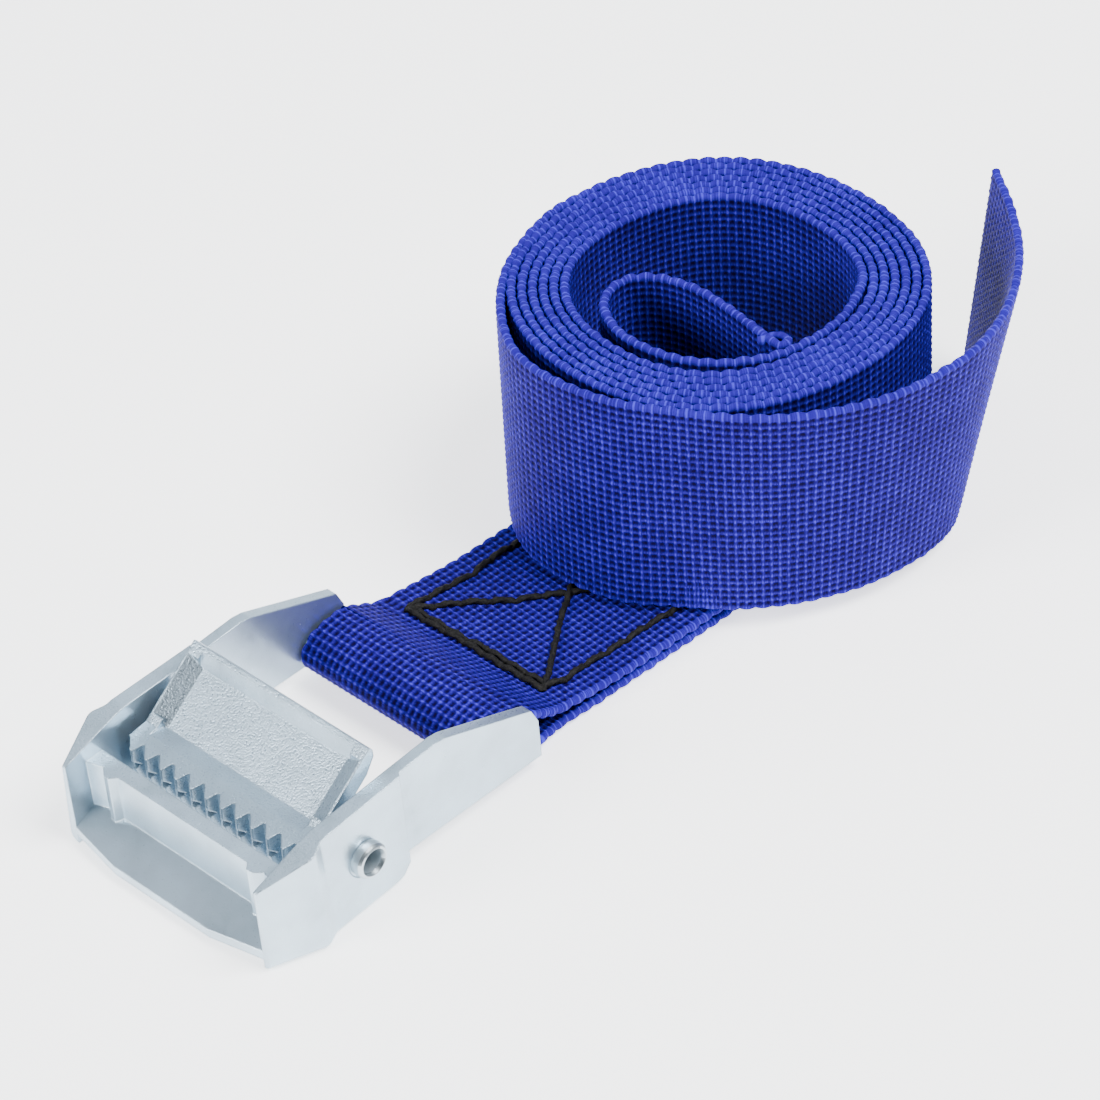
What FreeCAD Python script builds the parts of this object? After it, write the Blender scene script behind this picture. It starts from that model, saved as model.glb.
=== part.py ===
import FreeCAD, Part
import Sketcher
import math
import os
from types import SimpleNamespace

# Cam buckle lashing strap.  Millimetres, +Z up, +X from the buckle towards the rolled webbing,
# +Y to the far side plate.  The origin is on the floor, straight below the cam axle's middle.

Vector = FreeCAD.Vector

SIZES = {
    # webbing
    "webbing_width": 25.0,
    "webbing_thick": 1.0,
    # cam axle, a hollow rivet across the side plates
    "axle_height": 6.4,
    "axle_radius": 1.6,
    "axle_bore": 1.15,
    "rivet_head_radius": 1.8,
    "rivet_mouth_radius": 1.3,
    "rivet_seat": 14.75,
    "rivet_end": 16.05,
    # frame, half plan: y values are outside faces at the top of the plate
    "arm_inner": 12.7,
    "arm_outer": 13.9,
    "arm_end": 23.8,
    "tip_front": 11.7,
    "tip_inner": 12.9,
    "tip_outer": 13.9,
    "flare_front": 6.1,
    "flare_outer": 15.4,
    "bend_front": 4.4,
    "bend_outer": 14.6,
    "middle_rear": 5.2,
    "middle_inner": 12.9,
    "middle_outer": 14.5,
    "plate_draft": 0.7,
    # frame, side view heights
    "tip_top": 9.8,
    "flare_top": 11.4,
    "shoulder_top": 12.0,
    "peak_back": 10.9,
    "peak_top": 12.3,
    "arm_end_top": 7.7,
    "arm_bottom": 2.1,
    "arm_end_bottom": 1.4,
    "plate_height": 13.0,
    # anvil wall, apron, base bridge and crossbar
    "anvil_front": 9.1,
    "anvil_thick": 1.7,
    "anvil_flat": 8.9,
    "anvil_top": 8.8,
    "apron_foot": 3.5,
    "apron_lip": 13.0,
    "apron_lip_top": 1.6,
    "apron_kink": 6.5,
    "apron_thick": 1.0,
    "bridge_front": 2.9,
    "bridge_back": 3.4,
    "bridge_thick": 1.2,
    "bar_front": 18.4,
    "bar_back": 22.6,
    "bar_bottom": 3.5,
    "bar_thick": 1.4,
    # cam lever, side view
    "lever_half": 11.9,
    "nose_front": 5.95,
    "nose_top": 9.2,
    "crease_front": 3.65,
    "crease_top": 9.55,
    "floor_front": 1.75,
    "floor_low": 9.3,
    "floor_back": 3.5,
    "floor_high": 13.2,
    "floor_half": 9.8,
    "rim_front": 2.6,
    "rim_low": 9.65,
    "rim_back": 4.55,
    "rim_high": 15.0,
    "rim_half": 11.65,
    "rim_flat": 0.45,
    "cheek": 1.3,
    "tray_clear": 3.2,
    "hub_radius": 3.0,
    "tooth_pitch": 2.08,
    "tooth_depth": 1.2,
    "tooth_count": 11,
    "bore_play": 0.06,
    # torsion spring
    "spring_radius": 2.2,
    "spring_wire": 0.5,
    "spring_turns": 6.0,
    "spring_pitch": 0.62,
    # rolled webbing
    "roll_x": 65.1,
    "roll_y": 0.7,
    "roll_outer": 21.6,
    "roll_inner": 14.0,
    "roll_low": 2.05,
    # sewn eye and its stitches
    "sewn_end": 56.3,
    "lead_end": 66.4,
    "stitch_front": 29.2,
    "stitch_half": 9.3,
    "stitch_wide": 0.6,
    "stitch_high": 0.35,
    "stitch_back": 43.4,
    "stitch_cross": 41.6,
    # small joins and rounds
    "plate_bite": 0.3,
    "plate_step": 0.8,
    "apron_corner": 12.0,
    "belly_back": 0.8,
    "belly_round": 1.0,
    "flare_round": 1.2,
    "plate_lean": 3.2,
}

doc = FreeCAD.newDocument("CamBuckleStrap")
sheet = doc.addObject("Spreadsheet::Sheet", "Sizes")
for row, (name, value) in enumerate(SIZES.items(), start=1):
    sheet.set(f"A{row}", name)
    sheet.set(f"B{row}", str(value))
    sheet.setAlias(f"B{row}", name)
doc.recompute()


class Measure:
    """A length that knows its number and how the sheet spells it."""

    def __init__(self, number, text):
        self.number = float(number)
        self.text = text

    def __add__(self, other):
        other = measure(other)
        return Measure(self.number + other.number, f"({self.text} + {other.text})")

    def __sub__(self, other):
        other = measure(other)
        return Measure(self.number - other.number, f"({self.text} - {other.text})")

    def __mul__(self, other):
        other = measure(other)
        return Measure(self.number * other.number, f"({self.text} * {other.text})")

    def __truediv__(self, other):
        other = measure(other)
        return Measure(self.number / other.number, f"({self.text} / {other.text})")

    def __rmul__(self, other):
        return measure(other) * self

    def __neg__(self):
        return Measure(-self.number, f"(0 - {self.text})")


def measure(value):
    if isinstance(value, Measure):
        return value
    return Measure(value, f"({float(value)})")


s = SimpleNamespace(**{
    name: Measure(float(sheet.get(name)), f"Sizes.{name}") for name in SIZES})


def origin_plane(body, role):
    return next(part for part in body.Origin.OriginFeatures if part.Role == role)


def outline(body, name, role, points, lift=None):
    """A closed sketch of straight sides whose corners are bound to the sheet."""
    sketch = body.newObject("Sketcher::SketchObject", name)
    sketch.AttachmentSupport = [(origin_plane(body, role), "")]
    sketch.MapMode = "FlatFace"
    if lift is not None:
        sketch.setExpression("AttachmentOffset.Base.z", measure(lift).text)
    points = [(measure(across), measure(up)) for across, up in points]
    places = [Vector(across.number, up.number, 0) for across, up in points]
    for index, place in enumerate(places):
        following = places[(index + 1) % len(places)]
        sketch.addGeometry(Part.LineSegment(place, following), False)
    for index, (across, up) in enumerate(points):
        following = (index + 1) % len(points)
        sketch.addConstraint(Sketcher.Constraint("Coincident", index, 2, following, 1))
        for kind, place in (("DistanceX", across), ("DistanceY", up)):
            number = sketch.addConstraint(Sketcher.Constraint(kind, index, 1, place.number))
            sketch.setExpression(f"Constraints[{number}]", place.text)
    return sketch


def circle(body, name, role, centre, radius, lift=0):
    """A circle sketch whose centre and radius are bound to the sheet."""
    sketch = body.newObject("Sketcher::SketchObject", name)
    sketch.AttachmentSupport = [(origin_plane(body, role), "")]
    sketch.MapMode = "FlatFace"
    sketch.setExpression("AttachmentOffset.Base.z", measure(lift).text)
    across, up, radius = measure(centre[0]), measure(centre[1]), measure(radius)
    middle = Vector(across.number, up.number, 0)
    sketch.addGeometry(Part.Circle(middle, Vector(0, 0, 1), radius.number), False)
    for kind, place in (("DistanceX", across), ("DistanceY", up)):
        number = sketch.addConstraint(Sketcher.Constraint(kind, 0, 3, place.number))
        sketch.setExpression(f"Constraints[{number}]", place.text)
    number = sketch.addConstraint(Sketcher.Constraint("Radius", 0, radius.number))
    sketch.setExpression(f"Constraints[{number}]", radius.text)
    return sketch


def pad(body, sketch, length, middle=False):
    feature = body.newObject("PartDesign::Pad", sketch.Name + "Pad")
    feature.Profile = sketch
    feature.setExpression("Length", measure(length).text)
    feature.SideType = "Symmetric" if middle else "One side"
    doc.recompute()
    return feature


def pocket(body, sketch, length, middle=True, reverse=False):
    before = body.Shape.Volume
    feature = body.newObject("PartDesign::Pocket", sketch.Name + "Pocket")
    feature.Profile = sketch
    feature.setExpression("Length", measure(length).text)
    feature.SideType = "Symmetric" if middle else "One side"
    feature.Reversed = reverse
    doc.recompute()
    if not body.Shape.Volume < before:
        raise ValueError(sketch.Name + " cuts nothing")
    return feature


def soften(body, name, radius, wanted):
    """Round every edge of the body that the rule picks by its two ends."""
    base = body.Tip
    picked = []
    for number, edge in enumerate(base.Shape.Edges, start=1):
        ends = [vertex.Point for vertex in edge.Vertexes]
        if len(ends) == 2 and wanted(ends[0], ends[1]):
            picked.append(f"Edge{number}")
    feature = body.newObject("PartDesign::Fillet", name)
    feature.Base = (base, picked)
    feature.setExpression("Radius", measure(radius).text)
    doc.recompute()
    return feature


def side_points(side, points):
    return [(across, side * (up)) for across, up in points]


def side_plate(body, side, word):
    """One side plate: flared in front, leaning inwards towards its top, its outer edges rounded."""
    plan = outline(body, word + "Plate", "XY_Plane", side_points(side, [
        (-s.tip_front - s.plate_bite, s.tip_outer),
        (-s.flare_front - s.plate_bite, s.flare_outer + s.plate_draft),
        (-s.bend_front - s.plate_bite, s.bend_outer + s.plate_draft),
        (s.middle_rear, s.middle_outer + 0.7 * s.plate_draft),
        (s.middle_rear + s.plate_step, s.arm_outer),
        (s.arm_end, s.arm_outer),
        (s.arm_end, s.arm_inner),
        (s.middle_rear, s.arm_inner),
        (-s.bend_front, s.middle_inner),
        (-s.tip_front - s.plate_bite, s.tip_inner),
    ]))
    base = pad(body, plan, s.plate_height)
    leaning = []
    for number, face in enumerate(base.Shape.Faces, start=1):
        middle = face.CenterOfMass
        if middle.y * side > s.arm_outer.number and -s.tip_front.number < middle.x < 5 \
                and abs(face.normalAt(0, 0).z) < 0.1:
            leaning.append(f"Face{number}")
    lean = body.newObject("PartDesign::Draft", word + "PlateLean")
    lean.Base = (base, leaning)
    lean.NeutralPlane = (origin_plane(body, "XY_Plane"), [""])
    lean.setExpression("Angle", s.plate_lean.text)
    doc.recompute()
    soften(body, word + "FlareRound", s.flare_round, lambda a, b: (
        abs(a.z - b.z) > 5 and a.y * side > 14 and a.x < -3))
    soften(body, word + "FootRound", s.belly_round, lambda a, b: (
        max(a.z, b.z) < 0.1 and min(a.y * side, b.y * side) > 12.99 and min(a.x, b.x) < 5.1
        and max(a.x, b.x) < 5.3 and abs(a.x - b.x) > 0.1))


def buckle_frame():
    """One formed plate: two side plates, the apron and anvil wall in front, bridge and crossbar."""
    body = doc.addObject("PartDesign::Body", "buckle_frame")
    body.AllowCompound = True
    side_plate(body, 1, "Far")
    side_plate(body, -1, "Near")
    crest = outline(body, "PlateCrest", "XZ_Plane", [
        (-s.tip_front - 2, s.tip_top - 1),
        (-s.tip_front, s.tip_top),
        (-s.flare_front - 0.3, s.flare_top),
        (-s.bend_front + 0.3, s.shoulder_top - 0.1),
        (s.middle_rear - 0.3, s.shoulder_top + 0.1),
        (s.peak_back, s.peak_top),
        (s.peak_back + 1.2, s.peak_top - 0.2),
        (s.arm_end - 0.8, s.arm_end_top),
        (s.arm_end, s.arm_end_top - 1.8),
        (s.arm_end + 2, s.arm_end_top - 1.8),
        (s.arm_end + 2, 2 * s.plate_height),
        (-s.tip_front - 2, 2 * s.plate_height),
    ])
    pocket(body, crest, 4 * s.arm_outer)
    belly = outline(body, "PlateBelly", "XZ_Plane", [
        (s.belly_back, 0),
        (s.belly_back + 1.9, 0.2),
        (s.belly_back + 3.4, 0.85),
        (s.belly_back + 4.7, s.arm_bottom),
        (s.arm_end + 2, s.arm_end_bottom),
        (s.arm_end + 2, -1),
        (s.belly_back, -1),
    ])
    pocket(body, belly, 4 * s.arm_outer)
    apron = outline(body, "ApronSide", "XZ_Plane", [
        (-s.apron_lip, s.apron_lip_top - s.apron_thick),
        (-s.anvil_front, s.apron_foot - 1.1 * s.apron_thick),
        (-s.anvil_front + s.plate_bite, s.apron_foot - 1.1 * s.apron_thick),
        (-s.anvil_front + s.plate_bite, s.apron_foot),
        (-s.anvil_front, s.apron_foot),
        (-s.apron_lip, s.apron_lip_top),
    ])
    pad(body, apron, 2 * s.tip_inner + 2 * s.plate_bite, middle=True)
    for side, word in ((1, "Far"), (-1, "Near")):
        corner = outline(body, word + "ApronCorner", "XY_Plane", side_points(side, [
            (-s.apron_lip - 1, s.apron_kink - 3),
            (-s.apron_lip, s.apron_kink),
            (-s.apron_corner, s.tip_inner),
            (-s.apron_corner - 0.05, s.tip_inner + 1),
            (-s.apron_lip - 1, s.tip_inner + 1),
        ]))
        pocket(body, corner, 4 * s.apron_foot)
    bridge = outline(body, "BridgePlan", "XY_Plane", [
        (-s.bridge_front, -s.middle_inner - s.plate_bite),
        (s.bridge_back, -s.middle_inner - s.plate_bite),
        (s.bridge_back, s.middle_inner + s.plate_bite),
        (-s.bridge_front, s.middle_inner + s.plate_bite),
    ])
    pad(body, bridge, s.bridge_thick)
    wall = outline(body, "AnvilPlan", "XY_Plane", [
        (-s.anvil_front, s.anvil_flat),
        (-s.anvil_front - 0.7, s.anvil_flat + 0.6),
        (-s.anvil_front - 0.6, s.anvil_flat + 1.3),
        (-s.anvil_front + 0.1, s.anvil_flat + 2.1),
        (-s.anvil_front - 0.4, s.tip_inner),
        (-s.anvil_front - 0.4, s.tip_inner + s.plate_bite),
        (-s.anvil_front + s.anvil_thick, s.tip_inner + s.plate_bite),
        (-s.anvil_front + s.anvil_thick, -s.tip_inner - s.plate_bite),
        (-s.anvil_front - 0.4, -s.tip_inner - s.plate_bite),
        (-s.anvil_front - 0.4, -s.tip_inner),
        (-s.anvil_front + 0.1, -s.anvil_flat - 2.1),
        (-s.anvil_front - 0.6, -s.anvil_flat - 1.3),
        (-s.anvil_front - 0.7, -s.anvil_flat - 0.6),
        (-s.anvil_front, -s.anvil_flat),
    ], s.apron_foot - 1.1 * s.apron_thick)
    pad(body, wall, s.anvil_top - s.apron_foot + 1.1 * s.apron_thick)
    bar = outline(body, "BarSide", "XZ_Plane", [
        (s.bar_front, s.bar_bottom + 0.4),
        (s.bar_front + 0.4, s.bar_bottom),
        (s.bar_back - 0.4, s.bar_bottom),
        (s.bar_back, s.bar_bottom + 0.4),
        (s.bar_back, s.bar_bottom + s.bar_thick - 0.4),
        (s.bar_back - 0.4, s.bar_bottom + s.bar_thick),
        (s.bar_front + 0.4, s.bar_bottom + s.bar_thick),
        (s.bar_front, s.bar_bottom + s.bar_thick - 0.4),
    ])
    pad(body, bar, 2 * s.arm_inner + 2 * s.plate_bite, middle=True)
    hole = circle(body, "AxleHole", "XZ_Plane", (0, s.axle_height), s.axle_radius)
    pocket(body, hole, 4 * s.arm_outer)
    for side, word in ((1, "Near"), (-1, "Far")):
        seat = circle(body, word + "RivetSeat", "XZ_Plane", (0, s.axle_height),
                      s.rivet_head_radius + s.plate_bite, side * s.rivet_seat)
        pocket(body, seat, 2, middle=False, reverse=side > 0)
    return body


def lever_side():
    """The cam lever's side view: nose, thumb tray and hub."""
    return [
        (-s.nose_front, s.nose_top),
        (-s.crease_front, s.crease_top),
        (-s.rim_front, s.rim_low),
        (s.rim_back, s.rim_high),
        (s.rim_back + 0.35, s.rim_high - 0.35),
        (s.rim_back + 0.4, s.rim_high - 1.2),
        (s.rim_back - 0.7, s.rim_high - 2.8),
        (s.rim_back - 2.3, s.rim_high - 4),
        (0.93 * s.hub_radius, s.axle_height + 0.6 * s.hub_radius),
        (s.hub_radius, s.axle_height),
        (0.7 * s.hub_radius, s.axle_height - 0.7 * s.hub_radius),
        (0, s.axle_height - s.hub_radius),
        (-0.8 * s.hub_radius, s.axle_height - s.hub_radius),
        (-s.nose_front + 1.5, s.axle_height - 2.4),
        (-s.nose_front + 0.6, s.axle_height - 1.5),
        (-s.nose_front + 0.1, s.axle_height),
        (-s.nose_front - 0.1, s.axle_height + 1.6),
    ]


def thumb_tray(body):
    """The sloping tray: a trough with slanted walls along the slope, and a ramp at each end."""
    slope = (s.floor_high - s.floor_low) / (s.floor_back + s.floor_front)
    rim = s.rim_low + (s.rim_front - s.floor_front) * slope
    trough = outline(body, "TrayTrough", "YZ_Plane", [
        (-s.floor_half, s.floor_low),
        (s.floor_half, s.floor_low),
        (s.rim_half, rim),
        (s.rim_half, rim + s.rim_high),
        (-s.rim_half, rim + s.rim_high),
        (-s.rim_half, rim),
    ], -s.floor_front)
    before = body.Shape.Volume
    cut = body.newObject("PartDesign::Pocket", "TrayTroughPocket")
    cut.Profile = trough
    cut.setExpression("Length", (s.floor_front + s.floor_back).text)
    cut.AlongSketchNormal = True
    cut.UseCustomVector = True
    cut.Direction = Vector(1, 0, slope.number)
    doc.recompute()
    if not body.Shape.Volume < before:
        raise ValueError("the thumb tray cuts nothing")
    front = outline(body, "TrayFrontRamp", "XZ_Plane", [
        (-s.crease_front, s.crease_top),
        (-s.floor_front, s.floor_low),
        (-s.floor_front, 2 * s.floor_low),
        (-s.crease_front, 2 * s.floor_low),
    ])
    pocket(body, front, 2 * s.floor_half + 1)
    back = outline(body, "TrayBackRamp", "XZ_Plane", [
        (s.floor_back, s.floor_high),
        (s.rim_back - s.rim_flat, s.rim_high - s.rim_flat * slope),
        (s.rim_back - s.rim_flat, 2 * s.rim_high),
        (s.floor_back, 2 * s.rim_high),
    ])
    pocket(body, back, 2 * s.floor_half + 1)


def cam_lever():
    """The cam: a toothed nose, two cheeks on the axle and a sloping thumb tray."""
    body = doc.addObject("PartDesign::Body", "cam_lever")
    block = outline(body, "LeverSide", "XZ_Plane", lever_side())
    pad(body, block, 2 * s.lever_half, middle=True)
    slope = (s.floor_high - s.floor_low) / (s.floor_back + s.floor_front)
    front = s.hub_radius - 0.25
    roof = s.axle_height + s.tray_clear
    under = outline(body, "LeverHollow", "XZ_Plane", [
        (-front, s.axle_height - 2 * s.hub_radius),
        (-front, roof - (front + 0.15) * slope),
        (-front + 0.3, roof - (front - 0.3) * slope),
        (s.hub_radius, roof + s.hub_radius * slope),
        (s.hub_radius, s.axle_height - 2 * s.hub_radius),
    ])
    pocket(body, under, 2 * s.lever_half - 2 * s.cheek)
    thumb_tray(body)
    first = -0.5 * (s.tooth_count + 1) * s.tooth_pitch
    notch = outline(body, "ToothNotch", "XY_Plane", [
        (-s.nose_front - 1, first + 0.02 * s.tooth_pitch),
        (-s.nose_front - 0.15, first + 0.02 * s.tooth_pitch),
        (-s.nose_front + 0.8 * s.tooth_depth, first + 0.55 * s.tooth_pitch),
        (-s.nose_front + s.tooth_depth, first + 0.68 * s.tooth_pitch),
        (-s.nose_front + 0.85 * s.tooth_depth, first + 0.78 * s.tooth_pitch),
        (-s.nose_front - 0.15, first + 0.96 * s.tooth_pitch),
        (-s.nose_front - 1, first + 0.96 * s.tooth_pitch),
    ])
    cut = pocket(body, notch, 2 * s.axle_height, middle=False, reverse=True)
    row = body.newObject("PartDesign::LinearPattern", "ToothRow")
    row.Originals = [cut]
    row.Direction = (origin_plane(body, "Y_Axis"), [""])
    row.setExpression("Length", ((s.tooth_count + 1) * s.tooth_pitch).text)
    row.setExpression("Occurrences", (s.tooth_count + 2).text)
    body.Tip = row
    doc.recompute()
    waist = outline(body, "ToothWaist", "XZ_Plane", [
        (-s.nose_front - 1, s.nose_top - 1.2),
        (-s.nose_front - 0.1, s.nose_top - 1.45),
        (-s.nose_front + 0.6 * s.tooth_depth, s.nose_top - 2.15),
        (-s.nose_front - 0.1, s.nose_top - 2.4),
        (-s.nose_front - 1, s.nose_top - 2.4),
    ])
    pocket(body, waist, 3 * s.lever_half)
    bore = circle(body, "LeverBore", "XZ_Plane", (0, s.axle_height), s.axle_radius + s.bore_play)
    pocket(body, bore, 4 * s.lever_half)
    return body


def hollow_rivet():
    """The cam's axle: a tube whose two mouths are rolled over the side plates."""
    body = doc.addObject("PartDesign::Body", "hollow_rivet")
    half = [
        (s.axle_radius, s.rivet_seat),
        (s.rivet_head_radius, s.rivet_seat),
        (s.rivet_head_radius + 0.1, s.rivet_seat + 0.4),
        (s.rivet_head_radius + 0.05, s.rivet_end - 0.35),
        (s.rivet_head_radius - 0.15, s.rivet_end - 0.08),
        (s.rivet_head_radius - 0.35, s.rivet_end),
        (s.rivet_mouth_radius + 0.1, s.rivet_end - 0.1),
        (s.rivet_mouth_radius - 0.05, s.rivet_end - 0.4),
        (s.axle_bore, s.rivet_seat - 0.2),
    ]
    mirrored = [(radius, -along) for radius, along in reversed(half)]
    sketch = outline(body, "RivetHalf", "XY_Plane", half + mirrored)
    turn = body.newObject("PartDesign::Revolution", "RivetTurn")
    turn.Profile = sketch
    turn.ReferenceAxis = (origin_plane(body, "Y_Axis"), [""])
    turn.Angle = 360
    body.setExpression("Placement.Base.z", s.axle_height.text)
    doc.recompute()
    return body


def torsion_spring():
    """The cam's return spring: a close coil round the axle with two straight legs."""
    radius = s.spring_radius.number
    wire = s.spring_wire.number / 2
    height = s.axle_height.number
    lift = math.atan2((s.floor_high - s.floor_low).number, (s.floor_back + s.floor_front).number)
    turns = s.spring_turns.number + (math.pi / 2 - lift) / (2 * math.pi)
    long = turns * s.spring_pitch.number
    coil = Part.makeHelix(s.spring_pitch.number, long, radius)
    coil.rotate(Vector(), Vector(1, 0, 0), -90)
    coil.rotate(Vector(), Vector(0, 1, 0), 180)
    coil.translate(Vector(0, -long / 2, height))
    ends = sorted((vertex.Point for vertex in coil.Vertexes), key=lambda point: point.y)
    ring = Part.Wire([Part.makeCircle(wire, ends[0], Vector(0, 0, 1))])
    solid = Part.Wire(coil).makePipeShell([ring], True, True)
    drop = height - s.bridge_thick.number - wire
    foot = Part.makeCylinder(wire, drop, ends[0], Vector(0, 0, -1))
    arm = Part.makeCylinder(wire, 2.5 * radius, ends[-1], Vector(math.cos(lift), 0, math.sin(lift)))
    piece = doc.addObject("Part::Feature", "torsion_spring")
    piece.Shape = solid.fuse([foot, arm]).removeSplitter()
    return piece


def webbing_eye():
    """The doubled webbing that is sewn round the frame's crossbar."""
    body = doc.addObject("PartDesign::Body", "webbing_eye")
    thick = s.webbing_thick
    top = s.bar_bottom + s.bar_thick
    outer = outline(body, "EyeOuter", "XZ_Plane", [
        (s.sewn_end, 0),
        (s.bar_back + 4.4, 0),
        (s.bar_back, 0.5 * s.bar_bottom - thick),
        (s.bar_front + 1, s.bar_bottom - 2.1 * thick),
        (s.bar_front - 0.8, s.bar_bottom - 1.6 * thick),
        (s.bar_front - 1.5, s.bar_bottom - 0.7 * thick),
        (s.bar_front - 1.3, top - 0.7 * thick),
        (s.bar_front - 0.2, top + 0.5 * thick),
        (s.bar_front + 1.8, top + 1.15 * thick),
        (s.bar_back, top + 1.2 * thick),
        (s.bar_back + 2.8, top + 0.1 * thick),
        (s.bar_back + 5.6, top - 1.7 * thick),
        (s.stitch_front - 0.5, 2 * thick),
        (s.sewn_end, 2 * thick),
    ])
    pad(body, outer, s.webbing_width, middle=True)
    inner = outline(body, "EyeInner", "XZ_Plane", [
        (s.bar_back + 5.8, 1.1 * thick),
        (s.bar_back, 0.5 * s.bar_bottom + 0.1),
        (s.bar_front + 1, s.bar_bottom - 1.05 * thick),
        (s.bar_front - 0.1, s.bar_bottom - 0.6 * thick),
        (s.bar_front - 0.45, s.bar_bottom),
        (s.bar_front - 0.35, top - 0.2),
        (s.bar_front + 0.5, top + 0.15),
        (s.bar_back - 0.2, top + 0.2),
        (s.bar_back + 2, top - 0.9),
        (s.bar_back + 4.8, top - 2.7),
        (s.bar_back + 5.8, 1.3 * thick),
    ])
    pocket(body, inner, 2 * s.webbing_width)
    return body


def webbing_lead():
    """The single layer that runs on under the roll and turns up on edge in its core."""
    body = doc.addObject("PartDesign::Body", "webbing_lead")
    half = s.webbing_width / 2
    flat = outline(body, "LeadPlan", "XY_Plane", [
        (s.sewn_end, -half),
        (s.lead_end, -half),
        (s.lead_end, half),
        (s.sewn_end, half),
    ])
    pad(body, flat, s.webbing_thick)
    fan = outline(body, "LeadFan", "YZ_Plane", [
        (-0.72 * half, 0.5 * s.webbing_thick),
        (0.55 * half, 0.5 * s.webbing_thick),
        (0.2 * half, s.roll_low + 0.4 * s.webbing_width),
        (-0.72 * half, s.roll_low + 0.9 * s.webbing_width),
    ], s.lead_end - 1.3 * s.webbing_thick)
    pad(body, fan, s.webbing_thick)
    return body


def strip(body, name, path, width):
    """Webbing that stands on edge along a line on the floor plan, as one outline padded upwards."""
    places = [Vector(across, up, 0) for across, up in path]
    half = s.webbing_thick.number / 2
    left = []
    right = []
    for index, place in enumerate(places):
        before = places[max(index - 1, 0)]
        after = places[min(index + 1, len(places) - 1)]
        along = (after - before).normalize()
        across = Vector(-along.y, along.x, 0) * half
        left.append((s.roll_x + (place + across).x, s.roll_y + (place + across).y))
        right.append((s.roll_x + (place - across).x, s.roll_y + (place - across).y))
    sketch = outline(body, name, "XY_Plane", left + right[::-1], s.roll_low)
    return pad(body, sketch, width)


def webbing_core():
    """The fold in the middle of the roll from which the webbing winds outwards."""
    body = doc.addObject("PartDesign::Body", "webbing_core")
    strip(body, "CorePlan", [
        (-2.6, -8.6), (-1.5, -3.5), (-1.3, 2), (-3, 8.5), (-4.6, 10.2), (-7.2, 10.4), (-8.7, 9),
        (-9.9, 2), (-8.2, -4.4), (-5.4, -9.4),
    ], s.webbing_width)
    return body


def webbing_roll():
    """The wound layers of webbing, standing on edge."""
    body = doc.addObject("PartDesign::Body", "webbing_roll")
    ring = circle(body, "RollOuter", "XY_Plane", (s.roll_x, s.roll_y), s.roll_outer, s.roll_low)
    pad(body, ring, s.webbing_width)
    middle = circle(body, "RollInner", "XY_Plane", (s.roll_x, s.roll_y), s.roll_inner, s.roll_low)
    pocket(body, middle, 4 * s.webbing_width)
    return body


def webbing_tail():
    """The webbing's free end, which leaves the roll and curls back round it."""
    body = doc.addObject("PartDesign::Body", "webbing_tail")
    strip(body, "TailPlan", [
        (-9.9, -20.2), (-5, -22.5), (0, -23.8), (6.8, -24.5), (13.6, -23.8), (17.7, -22.6),
        (22.4, -19.6), (27.7, -14.5), (32.3, -8.3),
    ], s.webbing_width)
    return body


def box_x_stitching():
    """The thread that shows on the doubled webbing: a box with a cross in it."""
    body = doc.addObject("PartDesign::Body", "box_x_stitching")
    half = s.stitch_wide / 2
    far = s.stitch_back - s.stitch_front
    fall = s.stitch_half / (s.stitch_cross - s.stitch_front)
    level = 2 * s.webbing_thick
    lines = {"Front": [
        (s.stitch_front - half, -s.stitch_half - half),
        (s.stitch_front + half, -s.stitch_half - half),
        (s.stitch_front + half, s.stitch_half + half),
        (s.stitch_front - half, s.stitch_half + half),
    ]}
    for side, word in ((1, "Far"), (-1, "Near")):
        lines[word + "Side"] = side_points(side, [
            (s.stitch_front, s.stitch_half - half),
            (s.stitch_back, s.stitch_half - half),
            (s.stitch_back, s.stitch_half + half),
            (s.stitch_front, s.stitch_half + half),
        ])
        lines[word + "Cross"] = side_points(side, [
            (s.stitch_front, s.stitch_half - 1.3 * half),
            (s.stitch_back, s.stitch_half - 1.3 * half - far * fall),
            (s.stitch_back, s.stitch_half + 1.3 * half - far * fall),
            (s.stitch_front, s.stitch_half + 1.3 * half),
        ])
    for word, points in lines.items():
        pad(body, outline(body, word + "Stitches", "XY_Plane", points, level), s.stitch_high)
    return body


NODES = (buckle_frame, cam_lever, hollow_rivet, torsion_spring, webbing_eye, webbing_lead,
         webbing_core, webbing_roll, webbing_tail, box_x_stitching)

pieces = []
for make in NODES:
    piece = make()
    piece.Label = make.__name__
    pieces.append(piece)
doc.recompute()

for item in doc.Objects:
    if "Invalid" in item.State or "Error" in item.State:
        raise ValueError(f"{item.Label} failed to build")
for piece in pieces:
    if piece.Shape.isNull() or not piece.Shape.isValid() or len(piece.Shape.Solids) != 1:
        raise ValueError(f"{piece.Label} is not one valid solid")

os.makedirs("parts", exist_ok=True)
for piece in pieces:
    piece.Shape.exportStep(os.path.join("parts", piece.Label + ".step"))
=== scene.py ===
import math

import bpy
import numpy as np
from mathutils import Matrix, Vector


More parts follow.
